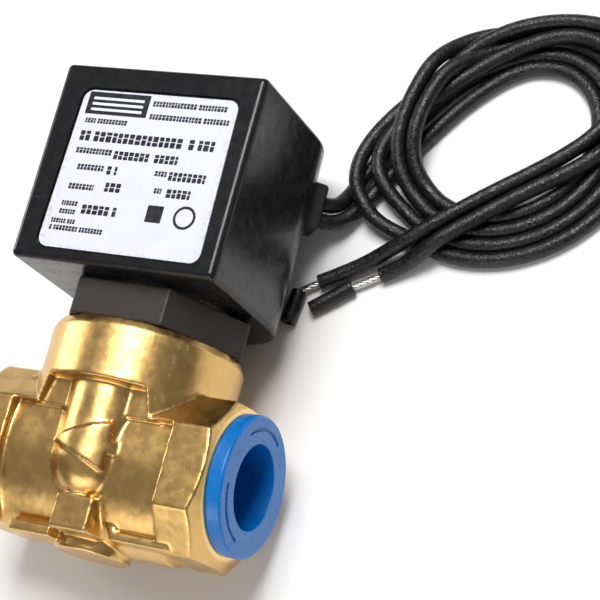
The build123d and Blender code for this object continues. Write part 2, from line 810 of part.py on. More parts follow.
lead_a_start = lead_tube(start_a_route, "lead_a_start")
finish(lead_a_start, "lead_a_start")
lead_b_start = lead_tube(start_b_route, "lead_b_start")
finish(lead_b_start, "lead_b_start")
lead_a_tail = lead_tube(tail_a_route, "lead_a_tail")
finish(lead_a_tail, "lead_a_tail")
lead_b_tail = lead_tube(tail_b_route, "lead_b_tail")
finish(lead_b_tail, "lead_b_tail")

with BuildPart() as lead_loops:
    with BuildSketch(Plane.XY):
        with Locations(LOOPS_CENTRE):
            Ellipse(*LOOPS_OUTER, rotation=LOOPS_TURN)
            Ellipse(*LOOPS_INNER, rotation=LOOPS_TURN, mode=Mode.SUBTRACT)
    extrude(amount=LOOPS_HEIGHT)
    fillet(lead_loops.faces().sort_by(Axis.Z)[-1].edges(), 2.5)
finish(lead_loops, "lead_loops")


def rod(start, end, radius, hollow=0.0):
    """A round rod between two points, with a blind hole in its far end."""
    first = Vector(*start)
    run = Vector(*end) - first
    with BuildPart() as piece:
        with BuildSketch(Plane(origin=first, z_dir=run)):
            Circle(radius)
        extrude(amount=run.length)
        if hollow:
            with BuildSketch(Plane(origin=first + run, z_dir=run)):
                Circle(hollow)
            extrude(amount=-2.0, mode=Mode.SUBTRACT)
    return piece


strand_radius = STRAND_DIAMETER / 2
slug_a_top = (26.2, 18.5, ON_TABLE)
slug_b_top = (15.6, 16.3, ON_TABLE)
lead_a_strands = rod(tail_a_route[-1], slug_a_top, strand_radius)
finish(lead_a_strands, "lead_a_strands")
lead_b_strands = rod(tail_b_route[-1], slug_b_top, strand_radius)
finish(lead_b_strands, "lead_b_strands")
lead_a_slug = rod(slug_a_top, (19.0, 12.9, ON_TABLE), LEAD_DIAMETER / 2, 0.7)
finish(lead_a_slug, "lead_a_slug")
lead_b_slug = rod(slug_b_top, (15.0, 9.6, ON_TABLE), LEAD_DIAMETER / 2, 0.7)
finish(lead_b_slug, "lead_b_slug")
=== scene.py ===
import json
import math
import random

import bmesh
import bpy
from mathutils import Matrix, Vector, noise


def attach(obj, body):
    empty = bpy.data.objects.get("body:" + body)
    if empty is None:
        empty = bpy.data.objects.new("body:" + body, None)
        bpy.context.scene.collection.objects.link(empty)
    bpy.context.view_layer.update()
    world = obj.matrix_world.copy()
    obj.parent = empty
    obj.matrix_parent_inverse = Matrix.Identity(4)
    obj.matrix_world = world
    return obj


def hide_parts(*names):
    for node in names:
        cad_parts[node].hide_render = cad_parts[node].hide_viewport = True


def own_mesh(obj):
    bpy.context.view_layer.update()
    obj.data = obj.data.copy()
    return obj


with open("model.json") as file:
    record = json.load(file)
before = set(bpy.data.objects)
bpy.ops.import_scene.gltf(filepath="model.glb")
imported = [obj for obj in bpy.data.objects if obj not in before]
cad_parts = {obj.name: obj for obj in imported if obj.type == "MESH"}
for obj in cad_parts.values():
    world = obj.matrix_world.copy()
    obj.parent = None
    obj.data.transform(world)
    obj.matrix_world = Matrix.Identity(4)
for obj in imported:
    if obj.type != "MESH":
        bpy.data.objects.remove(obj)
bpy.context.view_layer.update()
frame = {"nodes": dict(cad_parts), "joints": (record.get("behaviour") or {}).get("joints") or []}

# A pilot-operated solenoid valve with two loose leads, lying on its back.
# The valve's own frame: x along the flow, y from the label to the back,
# z up the bonnet axis. Sizes there are in millimetres, and `place` turns
# them into metres in the row's frame.
MM = 0.001
swivel = next(j for j in frame["joints"] if j["name"] == "coil_swivel")
valve_centre = Vector(swivel["pos_m"])
up_bonnet = Vector(swivel["axis"]).normalized()
along_flow = Vector((1, 0, 0))
to_back = up_bonnet.cross(along_flow)
valve_turn = Matrix((along_flow, to_back, up_bonnet)).transposed()

COIL_FRONT = 20.8
COIL_BASE = 30.4
LABEL_RECESS = 0.4
LABEL_THICKNESS = 0.3
LABEL_CENTRE = (-0.1, COIL_BASE + 17.9)
LABEL_HALF_WIDTH = 16.0
LABEL_HALF_HEIGHT = 15.5
PORT_FACE = 25.0
THREAD_RADIUS = 9.3
THREAD_PITCH = 1.814
LEAD_RADIUS = 1.5


def place(x, y, z):
    """The row position, in metres, of a point in the valve's frame."""
    return valve_centre + valve_turn @ (Vector((x, y, z)) * MM)


# ------------------------------------------------------------ camera
CAMERA_PLACE = Vector((0.1699309, -0.1033265, 0.3045097))
CAMERA_RIGHT = Vector((0.89665874, 0.27248705, -0.34893253))
CAMERA_UP = Vector((-0.11528494, 0.90466997, 0.41022143))
SENSOR_WIDTH = 36.0
FOCAL_LENGTH = 112.684


def make_camera():
    """The view down on the label and the loops, with the valve rolled in it."""
    lens = bpy.data.cameras.new("camera")
    lens.sensor_width = SENSOR_WIDTH
    lens.lens = FOCAL_LENGTH
    lens.clip_start = 0.01
    camera = bpy.data.objects.new("camera", lens)
    back = CAMERA_RIGHT.cross(CAMERA_UP)
    turn = Matrix((CAMERA_RIGHT, CAMERA_UP, back)).transposed()
    camera.matrix_world = Matrix.Translation(CAMERA_PLACE) @ turn.to_4x4()
    bpy.context.collection.objects.link(camera)
    bpy.context.scene.camera = camera


make_camera()


# ------------------------------------------------------------ lead routes
# Millimetres in the row's frame. The loops turn clockwise about one centre,
# each lane outside the last.
LOOPS_CENTRE = (46.6, 54.2)
LANE_PITCH = 3.02
LANE_SHAPE = [
    (112, 10.2), (100, 11.5), (88, 12.9), (75, 14.8), (62, 16.6), (45, 18.4),
    (30, 19.3), (15, 19.8), (0, 19.9), (-30, 19.6), (-60, 19.2), (-90, 18.8),
    (-112, 18.3), (-120, 18.1),
]
LEAD_EXIT = Vector((0.788011, 0.0452914, -0.6139934))
FIRST_RUN = 2.4


def lane_radius(bearing, lane):
    """The radius of a lane of the loops at a bearing, in degrees."""
    for (a, near), (b, far) in zip(LANE_SHAPE, LANE_SHAPE[1:]):
        if b <= bearing <= a:
            share = (a - bearing) / (a - b)
            return near + (far - near) * share + LANE_PITCH * lane
    return LANE_SHAPE[0][1] + LANE_PITCH * lane


def lane_turn(first, last, lane):
    """Part of a turn on the table, a point every 20 degrees or so."""
    steps = max(2, round(abs(last - first) / 20))
    points = []
    for i in range(steps + 1):
        bearing = first + (last - first) * i / steps
        radius = lane_radius(bearing, lane)
        points.append((
            LOOPS_CENTRE[0] + radius * math.cos(math.radians(bearing)),
            LOOPS_CENTRE[1] + radius * math.sin(math.radians(bearing)),
            LEAD_RADIUS,
        ))
    return points


def lead_start(start):
    """The exit and the end of the straight run out of the grommet."""
    return [start, tuple(Vector(start) + FIRST_RUN * LEAD_EXIT)]


EXIT_A = (17.4, 32.7, 6.6)
EXIT_B = (17.4, 29.3, 6.4)
route_a = (
    lead_start(EXIT_A)
    + [(20.3, 35.6, 3.1), (21.1, 39.3, 1.7), (22.7, 43.1, 1.5),
       (25.3, 47.7, 1.5), (28.3, 52.5, 1.5), (31.6, 57.3, 1.5),
       (35.2, 62.0, 1.5), (39.6, 66.2, 1.5)]
    + lane_turn(97, -112, 1)
    + [(34.0, 37.9, 2.0), (31.0, 41.2, 3.9), (29.3, 45.0, 5.4),
       (28.9, 49.4, 6.9), (29.3, 54.3, 7.5), (30.3, 60.0, 7.5),
       (32.0, 65.8, 7.1), (35.2, 71.3, 4.0), (40.2, 75.0, 1.7)]
    + lane_turn(92, -116, 3)
    + [(27.9, 31.7, 2.8), (24.5, 34.9, 4.8), (21.9, 38.9, 4.7),
       (21.4, 43.6, 4.7), (22.9, 49.0, 4.6), (26.2, 54.6, 4.5),
       (30.6, 60.0, 4.3), (34.8, 66.0, 4.2), (39.4, 71.2, 4.5),
       (45.6, 75.0, 4.7), (52.6, 77.0, 4.7), (60.0, 77.3, 4.7),
       (66.6, 75.8, 4.6), (71.4, 71.8, 4.6), (74.0, 66.0, 4.6),
       (73.8, 59.6, 4.6), (71.0, 52.2, 4.6), (65.6, 46.7, 4.6),
       (60.0, 42.9, 4.5), (54.2, 38.9, 4.5), (48.6, 34.2, 4.7),
       (43.4, 30.0, 5.0), (39.4, 26.6, 4.1), (35.1, 23.6, 2.0),
       (31.2, 21.5, 1.5)]
)
route_b = (
    lead_start(EXIT_B)
    + [(21.6, 31.8, 2.8), (23.6, 35.6, 1.6), (25.8, 39.6, 1.5),
       (28.4, 44.4, 1.5), (31.4, 49.4, 1.5), (34.6, 54.2, 1.5),
       (38.0, 58.8, 1.5), (42.0, 63.1, 1.5)]
    + lane_turn(90, -112, 0)
    + [(36.0, 40.0, 2.0), (33.3, 43.0, 3.9), (32.1, 46.4, 5.4),
       (32.0, 50.0, 6.9), (32.5, 54.3, 7.5), (33.7, 59.2, 7.6),
       (35.8, 64.2, 7.3), (39.6, 68.2, 4.6), (43.8, 71.8, 2.2)]
    + lane_turn(84, -114, 2)
    + [(30.9, 36.2, 2.5), (27.9, 38.9, 4.3), (25.7, 42.2, 4.7),
       (25.1, 46.1, 4.7), (26.5, 50.6, 4.6), (29.8, 55.2, 4.5),
       (34.2, 59.8, 4.4), (39.2, 64.6, 4.4), (44.6, 69.0, 4.5),
       (50.6, 72.4, 4.7), (56.6, 74.3, 4.7), (62.4, 73.6, 4.6),
       (67.2, 70.2, 4.6), (69.6, 65.2, 4.6), (69.6, 59.0, 4.6),
       (66.6, 53.0, 4.6), (61.4, 48.1, 4.5), (55.8, 44.0, 4.3),
       (49.8, 39.6, 4.5), (44.4, 35.3, 4.7), (39.2, 30.9, 5.0),
       (34.2, 27.3, 4.0), (28.3, 23.7, 2.1), (23.2, 20.8, 1.55),
       (19.2, 18.6, 1.5)]
)
# The bared strands run on from each lead's end into its insulation slug.
STRANDS_A = ((31.2, 21.5, 1.5), (26.2, 18.5, 1.5))
STRANDS_B = ((19.2, 18.6, 1.5), (15.6, 16.3, 1.5))
SLUG_A = ((26.2, 18.5, 1.5), (19.0, 12.9, 1.5))
SLUG_B = ((15.6, 16.3, 1.5), (15.0, 9.6, 1.5))


# ------------------------------------------------------------ material kit
class Finish:
    """A procedural material, built node by node around one shader."""

    def __init__(self, name, **constants):
        self.material = bpy.data.materials.new(name)
        self.material.use_nodes = True
        self.tree = self.material.node_tree
        self.shader = self.tree.nodes["Principled BSDF"]
        for socket, value in constants.items():
            self.shader.inputs[socket.replace("_", " ")].default_value = value
        source = self.tree.nodes.new("ShaderNodeTexCoord")
        self.coordinates = source.outputs["Object"]

    def link(self, source, target):
        """Feed a target socket from an output socket or a plain value."""
        if isinstance(source, bpy.types.NodeSocket):
            self.tree.links.new(source, target)
        else:
            target.default_value = source

    def feed(self, socket, source):
        """Feed one of the shader's own inputs."""
        self.link(source, self.shader.inputs[socket])

    def stretched(self, scale):
        """The coordinates, stretched by a scale on each axis."""
        node = self.tree.nodes.new("ShaderNodeMapping")
        node.inputs["Scale"].default_value = scale
        self.tree.links.new(self.coordinates, node.inputs["Vector"])
        return node.outputs["Vector"]

    def in_valve_frame(self):
        """The coordinates in the valve's own frame, in metres."""
        node = self.tree.nodes.new("ShaderNodeMapping")
        node.vector_type = "TEXTURE"
        node.inputs["Location"].default_value = valve_centre
        node.inputs["Rotation"].default_value = valve_turn.to_euler()
        self.tree.links.new(self.coordinates, node.inputs["Vector"])
        return node.outputs["Vector"]

    def noise(self, size, detail=3.0, roughness=0.55, distortion=0.0,
              vector=None):
        """Soft noise with features of about `size` millimetres."""
        node = self.tree.nodes.new("ShaderNodeTexNoise")
        node.inputs["Scale"].default_value = 1 / (size * MM)
        node.inputs["Detail"].default_value = detail
        node.inputs["Roughness"].default_value = roughness
        node.inputs["Distortion"].default_value = distortion
        self.tree.links.new(vector or self.coordinates, node.inputs["Vector"])
        return node.outputs["Fac"]

    def math(self, operation, a, b=0.0):
        """One arithmetic step."""
        node = self.tree.nodes.new("ShaderNodeMath")
        node.operation = operation
        self.link(a, node.inputs[0])
        self.link(b, node.inputs[1])
        return node.outputs[0]

    def span(self, value, low, high, to_low=0.0, to_high=1.0):
        """A value mapped from one range to another, smoothly, and clamped."""
        node = self.tree.nodes.new("ShaderNodeMapRange")
        node.interpolation_type = "SMOOTHSTEP"
        self.link(value, node.inputs["Value"])
        for socket, bound in zip(
            ("From Min", "From Max", "To Min", "To Max"),
            (low, high, to_low, to_high),
        ):
            node.inputs[socket].default_value = bound
        return node.outputs["Result"]

    def mix(self, share, a, b):
        """Two colours mixed by a share."""
        node = self.tree.nodes.new("ShaderNodeMix")
        node.data_type = "RGBA"
        self.link(share, node.inputs[0])
        self.link(a, node.inputs[6])
        self.link(b, node.inputs[7])
        return node.outputs[2]

    def between(self, share, a, b):
        """Two plain values mixed by a share."""
        node = self.tree.nodes.new("ShaderNodeMix")
        for source, socket in ((share, 0), (a, 2), (b, 3)):
            self.link(source, node.inputs[socket])
        return node.outputs[0]

    def axis(self, vector, name):
        """One component of a vector."""
        node = self.tree.nodes.new("ShaderNodeSeparateXYZ")
        self.tree.links.new(vector, node.inputs[0])
        return node.outputs[name]

    def edge_share(self, low, high):
        """1 on convex edges, 0 in hollows, between two levels of pointiness."""
        node = self.tree.nodes.new("ShaderNodeNewGeometry")
        return self.span(node.outputs["Pointiness"], low, high)

    def bump(self, height, distance, strength=1.0, over=None):
        """Raise the surface by a height of up to `distance` millimetres."""
        node = self.tree.nodes.new("ShaderNodeBump")
        node.inputs["Strength"].default_value = strength
        node.inputs["Distance"].default_value = distance * MM
        self.link(height, node.inputs["Height"])
        if over is not None:
            self.tree.links.new(over, node.inputs["Normal"])
        self.tree.links.new(node.outputs["Normal"], self.shader.inputs["Normal"])
        return node.outputs["Normal"]


# ------------------------------------------------------------ materials
# Where a finish begins and is complete, in millimetres from the middle
TURNED_END = (24.6, 24.9)
GRIME_ACROSS = (14.6, 16.4)
GRIME_ALONG = (14.4, 15.6)
TURNING_PITCH = 0.3
WIRE_PITCH = 0.4
TAPE_PITCH = 6.0


def within(bounds):
    """A pair of millimetre bounds in metres."""
    return [bound * MM for bound in bounds]


def forged_brass():
    """Forged brass, stained and pitted, brighter where it has been turned."""
    f = Finish("forged_brass", Metallic=1.0)
    at = f.in_valve_frame()
    x, z = f.axis(at, "X"), f.axis(at, "Z")
    radius = f.math("SQRT", f.math("ADD", f.math("POWER", f.axis(at, "Y"), 2.0),
                                   f.math("POWER", z, 2.0)))
    # Only the end faces of the ports are turned
    turned = f.span(f.math("ABSOLUTE", x), *within(TURNED_END))
    patches = f.noise(11.0, 1.5, 0.5, 0.6)
    stain = f.span(patches, 0.5, 0.74)
    grain = f.noise(0.8, 4.0, 0.7)
    specks = f.span(f.noise(0.5, 2.0, 0.5), 0.69, 0.76)
    gold = f.mix(grain, (0.60, 0.37, 0.13, 1), (0.76, 0.50, 0.18, 1))
    aged = f.mix(f.math("MULTIPLY", stain, 0.4), gold, (0.52, 0.29, 0.10, 1))
    hollow = f.math("SUBTRACT", 1.0, f.edge_share(0.20, 0.36))
    dull = f.mix(f.math("MULTIPLY", hollow, 0.6), aged, (0.36, 0.17, 0.05, 1))
    worn = f.mix(f.math("MULTIPLY", f.edge_share(0.53, 0.62), 0.55), dull,
                 (1.0, 0.78, 0.40, 1))
    pitted = f.mix(f.math("MULTIPLY", specks, 0.5), worn, (0.28, 0.15, 0.05, 1))
    f.feed("Base Color", f.mix(turned, pitted, (0.88, 0.62, 0.27, 1)))
    matt = f.span(f.noise(2.2, 3.0, 0.6), 0.3, 0.72, 0.27, 0.37)
    f.feed("Roughness", f.between(turned, matt, 0.3))
    skin = f.math("ADD", f.math("MULTIPLY", f.noise(1.6, 3.0, 0.5), 0.7),
                  f.math("MULTIPLY", grain, 0.3))
    under = f.bump(skin, 0.03, 0.5)
    pits = f.bump(f.math("SUBTRACT", 1.0, specks), 0.02, 0.5, under)
    rings = f.math("SINE", f.math("MULTIPLY", radius,
                                  2 * math.pi / (TURNING_PITCH * MM)))
    f.bump(f.math("MULTIPLY", rings, turned), 0.006, 0.6, pits)
    return f.material


def blue_plastic():
    """Soft moulded polyethylene, faintly milky, with rubbed edges."""
    f = Finish("blue_plastic", Subsurface_Weight=0.08, Subsurface_Scale=0.001,
               Subsurface_Radius=(0.2, 0.6, 1.0))
    cloud = f.noise(5.0, 3.0, 0.6)
    blue = f.mix(cloud, (0.0, 0.125, 0.44, 1), (0.0, 0.175, 0.55, 1))
    rubbed = f.math("MULTIPLY", f.edge_share(0.52, 0.62), 0.35)
    f.feed("Base Color", f.mix(rubbed, blue, (0.01, 0.27, 0.68, 1)))
    f.feed("Roughness", f.span(f.noise(1.2, 4.0, 0.6), 0.3, 0.7, 0.24, 0.42))
    f.bump(f.noise(0.7, 3.0, 0.5), 0.012, 0.6)
    return f.material


def moulding(name, dark, pale, roughness, grain_size, grain_depth):
    """A dark moulded plastic or rubber, with grain, dust and light scuffs."""
    f = Finish(name, Specular_IOR_Level=0.35)
    cloud = f.noise(7.0, 4.0, 0.6)
    body = f.mix(cloud, dark, pale)
    dust = f.span(f.noise(0.5, 3.0, 0.8), 0.66, 0.78, 0.0, 0.10)
    scuffs = f.noise(1.0, 2.0, 0.5, 0.3, f.stretched((0.15, 1.0, 1.0)))
    scuffed = f.span(scuffs, 0.68, 0.76, 0.0, 0.08)
    dusty = f.mix(f.math("ADD", dust, scuffed), body, (0.16, 0.15, 0.14, 1))
    f.feed("Base Color", dusty)
    low, high = roughness
    f.feed("Roughness", f.span(f.noise(2.4, 4.0, 0.65), 0.3, 0.7, low, high))
    f.bump(f.noise(grain_size, 3.0, 0.6), grain_depth, 0.7)
    return f.material


def label_film():
    """White printed film, faintly mottled, grubby at its edges."""
    f = Finish("label_film")
    at = f.in_valve_frame()
    across, along = (
        f.math("ABSOLUTE", f.math("SUBTRACT", f.axis(at, name), centre * MM))
        for name, centre in zip("XZ", LABEL_CENTRE)
    )
    border = f.math("MAXIMUM", f.span(across, *within(GRIME_ACROSS)),
                    f.span(along, *within(GRIME_ALONG)))
    grime = f.math("MULTIPLY", border, f.span(f.noise(0.9, 4.0, 0.7), 0.46, 0.66))
    paper = f.mix(f.noise(4.0, 3.0, 0.6), (0.64, 0.66, 0.75, 1),
                  (0.70, 0.72, 0.81, 1))
    specks = f.span(f.noise(0.3, 2.0, 0.6), 0.7, 0.76, 0.0, 0.25)
    speckled = f.mix(specks, paper, (0.42, 0.42, 0.46, 1))
    f.feed("Base Color", f.mix(f.math("MULTIPLY", grime, 0.5), speckled,
                               (0.30, 0.29, 0.30, 1)))
    f.feed("Roughness", f.span(f.noise(1.5, 3.0, 0.6), 0.3, 0.7, 0.34, 0.5))
    f.bump(f.noise(0.5, 3.0, 0.6), 0.008, 0.5)
    return f.material


def label_ink():
    """Black print, thin enough in places for the film to show."""
    f = Finish("label_ink")
    thin = f.span(f.noise(0.22, 3.0, 0.7), 0.55, 0.72, 0.0, 0.5)
    f.feed("Base Color", f.mix(thin, (0.006, 0.006, 0.009, 1),
                               (0.05, 0.05, 0.06, 1)))
    f.feed("Roughness", f.span(f.noise(0.8), 0.3, 0.7, 0.3, 0.5))
    return f.material


def label_white():
    """White print on the black block."""
    f = Finish("label_white")
    f.feed("Base Color", f.mix(f.noise(0.3, 3.0, 0.7), (0.66, 0.67, 0.72, 1),
                               (0.84, 0.86, 0.92, 1)))
    f.feed("Roughness", f.span(f.noise(0.8), 0.3, 0.7, 0.34, 0.5))
    return f.material


def lead_insulation():
    """Black lead insulation: a wrinkled skin with waxy highlights."""
    f = Finish("lead_insulation", Specular_IOR_Level=0.45)
    body = f.mix(f.noise(3.0, 3.0, 0.6), (0.004, 0.004, 0.004, 1),
                 (0.009, 0.009, 0.010, 1))
    dust = f.span(f.noise(0.4, 3.0, 0.8), 0.64, 0.78, 0.0, 0.16)
    f.feed("Base Color", f.mix(dust, body, (0.15, 0.15, 0.16, 1)))
    f.feed("Roughness", f.span(f.noise(1.0, 4.0, 0.7), 0.35, 0.65, 0.2, 0.5))
    wrinkles = f.math("ADD", f.math("MULTIPLY", f.noise(1.1, 4.0, 0.6, 0.6), 0.7),
                      f.math("MULTIPLY", f.noise(0.35, 2.0, 0.5), 0.3))
    f.bump(wrinkles, 0.3, 0.9)
    return f.material


def metal(name, dark, bright, roughness, pitch=0.0, depth=0.004):
    """A plain metal, blotched, with turning rings about the bonnet axis."""
    f = Finish(name, Metallic=1.0)
    tone = f.noise(3.0, 4.0, 0.65)
    specks = f.span(f.noise(0.4, 2.0, 0.6), 0.66, 0.76, 0.0, 0.4)
    f.feed("Base Color", f.mix(specks, f.mix(tone, dark, bright), dark))
    low, high = roughness
    f.feed("Roughness", f.span(f.noise(1.3, 4.0, 0.65), 0.3, 0.7, low, high))
    under = f.bump(f.noise(0.6, 3.0, 0.6), depth, 0.6)
    if pitch:
        height = f.axis(f.in_valve_frame(), "Z")
        rings = f.math("SINE", f.math("MULTIPLY", height,
                                      2 * math.pi / (pitch * MM)))
        f.bump(rings, depth, 0.5, under)
    return f.material


def wound_copper():
    """Enamelled copper wire in close turns, seen as fine ridges."""
    f = Finish("copper", Metallic=0.85, Coat_Weight=0.5, Coat_Roughness=0.15)
    height = f.axis(f.in_valve_frame(), "Z")
    turns = f.math("SINE", f.math("MULTIPLY", height,
                                  2 * math.pi / (WIRE_PITCH * MM)))
    tone = f.mix(f.noise(2.5, 3.0, 0.6), (0.42, 0.13, 0.045, 1),
                 (0.66, 0.25, 0.09, 1))
    # The grooves between the turns are painted darker: painted shade in the creases between the
    # wires
    f.feed("Base Color", f.mix(f.span(turns, -1.0, -0.2, 0.6, 0.0), tone,
                               (0.12, 0.03, 0.01, 1)))
    f.feed("Roughness", f.span(f.noise(1.0), 0.3, 0.7, 0.22, 0.36))
    f.bump(turns, 0.08, 0.9)
    return f.material


def coil_tape():
    """Overlapped yellow polyester tape."""
    f = Finish("coil_tape", Coat_Weight=0.3, Coat_Roughness=0.2)
    height = f.axis(f.in_valve_frame(), "Z")
    laps = f.math("FRACT", f.math("MULTIPLY", height, 1 / (TAPE_PITCH * MM)))
    tone = f.mix(f.noise(3.0), (0.62, 0.40, 0.07, 1), (0.78, 0.55, 0.13, 1))
    # A narrow band at the foot of each lap's edge is painted darker: painted shade under the
    # edge
    f.feed("Base Color", f.mix(f.span(laps, 0.0, 0.12, 0.35, 0.0), tone,
                               (0.34, 0.20, 0.04, 1)))
    f.feed("Roughness", f.span(f.noise(1.2), 0.3, 0.7, 0.3, 0.46))
    f.bump(f.math("ADD", laps, f.noise(1.2)), 0.05, 0.6)
    return f.material


def bobbin_nylon():
    """Natural glass-filled nylon."""
    f = Finish("bobbin_nylon", Subsurface_Weight=0.1, Subsurface_Scale=0.001)
    tone = f.mix(f.noise(4.0, 4.0, 0.65), (0.62, 0.58, 0.46, 1),
                 (0.78, 0.75, 0.64, 1))
    fibre = f.span(f.noise(0.3, 2.0, 0.6, 0.5), 0.62, 0.74, 0.0, 0.3)
    f.feed("Base Color", f.mix(fibre, tone, (0.88, 0.86, 0.78, 1)))
    f.feed("Roughness", f.span(f.noise(1.0), 0.3, 0.7, 0.4, 0.6))
    f.bump(f.noise(0.5, 3.0, 0.6), 0.01, 0.6)
    return f.material


def floor_white():
    """Matt pale studio paper."""
    f = Finish("floor_white")
    f.feed("Base Color", f.mix(f.noise(60.0, 2.0), (0.90, 0.90, 0.90, 1),
                               (0.93, 0.93, 0.93, 1)))
    f.shader.inputs["Roughness"].default_value = 0.9
    f.shader.inputs["Specular IOR Level"].default_value = 0.1
    return f.material


finishes = {
    "forged_brass": forged_brass(),
    "blue_plastic": blue_plastic(),
    "black_rubber": moulding("black_rubber", (0.010, 0.010, 0.010, 1),
                             (0.026, 0.025, 0.024, 1), (0.45, 0.68), 0.5, 0.03),
    "stainless": metal("stainless", (0.48, 0.47, 0.45, 1), (0.68, 0.67, 0.65, 1),
                       (0.2, 0.36), 0.35),
    "spring_steel": metal("spring_steel", (0.30, 0.29, 0.28, 1),
                          (0.52, 0.51, 0.50, 1), (0.24, 0.42)),
    "dark_bonnet": moulding("dark_bonnet", (0.018, 0.014, 0.012, 1),
                            (0.042, 0.034, 0.029, 1), (0.42, 0.58), 0.45, 0.02),
    "coil_moulding": moulding("coil_moulding", (0.006, 0.006, 0.007, 1),
                              (0.013, 0.013, 0.014, 1), (0.17, 0.30), 1.4, 0.02),
    "label_film": label_film(),
    "bobbin_nylon": bobbin_nylon(),
    "copper": wound_copper(),
    "coil_tape": coil_tape(),
    "plated_steel": metal("plated_steel", (0.46, 0.45, 0.40, 1),
                          (0.66, 0.65, 0.58, 1), (0.26, 0.46)),
    "lead_insulation": lead_insulation(),
    "tinned_copper": metal("tinned_copper", (0.50, 0.49, 0.47, 1),
                           (0.80, 0.79, 0.77, 1), (0.22, 0.38)),
}
ink = label_ink()
white_print = label_white()

for node in frame["nodes"].values():
    for held in node.material_slots:
        held.material = finishes[held.material.name]


# ------------------------------------------------------------ mesh kit
JOINED_WITHIN = 0.002


def mesh_piece(name, mesh, body, slot, material=None):
    """A finished mesh as a piece that rides on a body."""
    piece = bpy.data.objects.new(name, mesh)
    bpy.context.collection.objects.link(piece)
    mesh.materials.clear()
    mesh.materials.append(material or finishes[slot])
    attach(piece, body)
    return piece


def settled(piece):
    """The piece's mesh with its modifiers applied, as a new mesh."""
    bpy.context.view_layer.update()
    shaped = piece.evaluated_get(bpy.context.evaluated_depsgraph_get())
    return bpy.data.meshes.new_from_object(shaped)


def closed_mesh(name, shape):
    """A drawn shape as a mesh, its faces turned outwards."""
    bmesh.ops.recalc_face_normals(shape, faces=shape.faces)
    mesh = bpy.data.meshes.new(name)
    shape.to_mesh(mesh)
    shape.free()
    return mesh


def softened(node, voxel, passes, group=None):
    """A node's shape with its sharp edges eased, on an even fine mesh."""
    source = bpy.data.objects.new("source", frame["nodes"][node].data.copy())
    bpy.context.collection.objects.link(source)
    shape = bmesh.new()
    shape.from_mesh(source.data)
    bmesh.ops.remove_doubles(shape, verts=shape.verts, dist=JOINED_WITHIN * MM)
    shape.to_mesh(source.data)
    shape.free()
    remesh = source.modifiers.new("remesh", "REMESH")
    remesh.mode = "VOXEL"
    remesh.voxel_size = voxel * MM
    mesh = settled(source)
    bpy.data.objects.remove(source)
    even = bpy.data.objects.new("even", mesh)
    bpy.context.collection.objects.link(even)
    smooth = even.modifiers.new("smooth", "SMOOTH")
    smooth.factor = 0.5
    smooth.iterations = passes
    if group:
        eased = even.vertex_groups.new(name="eased")
        for vertex in mesh.vertices:
            eased.add([vertex.index], group(vertex.co), "REPLACE")
        smooth.vertex_group = "eased"
    result = settled(even)
    bpy.data.objects.remove(even)
    result.shade_smooth()
    return result


def in_valve(point):
    """A row point in the valve's frame, in millimetres."""
    return (valve_turn.transposed() @ (point - valve_centre)) / MM


# ------------------------------------------------------------ forged body
FORGED_WAVES = 0.05
WAVE_LENGTH = 4.5
BORE_REACH = THREAD_RADIUS + 1.5
BORE_DEPTH = 12.5
RIM_FOOT = 20.4
RIM_RADIUS = 17.2
TURNED_DEPTH = 0.35
TURNED_FADE = 1.2


def forged_share(point):
    """1 on the forged skin, 0 where the body has been turned or bored."""
    x, y, z = in_valve(point)
    from_end = PORT_FACE - abs(x)
    in_port = math.hypot(y, z) < BORE_REACH and from_end < BORE_DEPTH
    on_rim = z > RIM_FOOT and math.hypot(x, y) < RIM_RADIUS
    if in_port or on_rim or from_end < TURNED_DEPTH:
        return 0.0
    return min(1.0, (from_end - TURNED_DEPTH) / TURNED_FADE)


def make_body():
    """The forging, its edges eased and its skin slightly uneven."""
    mesh = softened("valve_body", voxel=0.26, passes=9, group=forged_share)
    # The normals are read before any vertex moves, which would renew them all
    normals = [vertex.normal.copy() for vertex in mesh.vertices]
    for vertex, normal in zip(mesh.vertices, normals):
        share = forged_share(vertex.co)
        if share:
            wave = noise.noise(vertex.co / (WAVE_LENGTH * MM))
            fine = 0.3 * noise.noise(vertex.co / (0.3 * WAVE_LENGTH * MM))
            vertex.co += normal * (wave + fine) * FORGED_WAVES * share * MM
    body = mesh_piece("forged_body", mesh, "valve_unit", "forged_brass")
    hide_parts("valve_body")


def make_outlet_thread():
    """The ridges of the pipe thread inside the open outlet port."""
    ridge_height = 0.62
    half_width = 0.62
    half_crest = 0.12
    root = THREAD_RADIUS + 0.08
    first, last = -PORT_FACE + 1.5, -PORT_FACE + 11.0
    per_turn = 96
    total = int((last - first) / THREAD_PITCH * per_turn)
    shape = bmesh.new()
    rows = []
    for i in range(total + 1):
        angle = 2 * math.pi * i / per_turn
        middle = first + THREAD_PITCH * i / per_turn
        # The ridge rises from nothing over its first and last quarter turn
        rise = min(1.0, i / (per_turn / 4), (total - i) / (per_turn / 4))
        crest = THREAD_RADIUS - ridge_height * rise
        profile = [
            (middle - half_width, root),
            (middle - half_crest, crest),
            (middle + half_crest, crest),
            (middle + half_width, root),
        ]
        rows.append([
            shape.verts.new(place(x, r * math.cos(angle), r * math.sin(angle)))
            for x, r in profile
        ])
    for near, far in zip(rows, rows[1:]):
        for k in range(4):
            shape.faces.new((near[k], near[(k + 1) % 4], far[(k + 1) % 4], far[k]))
    shape.faces.new(rows[0])
    shape.faces.new(rows[-1][::-1])
    mesh = closed_mesh("outlet_thread", shape)
    mesh.shade_smooth()
    mesh_piece("outlet_thread", mesh, "valve_unit", "forged_brass")


def make_plug():
    """The push-in plug, with the rounded edges of a moulding."""
    mesh = softened("inlet_plug", voxel=0.12, passes=2)
    plug = mesh_piece("port_plug", mesh, "plug_unit", "blue_plastic")
    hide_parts("inlet_plug")


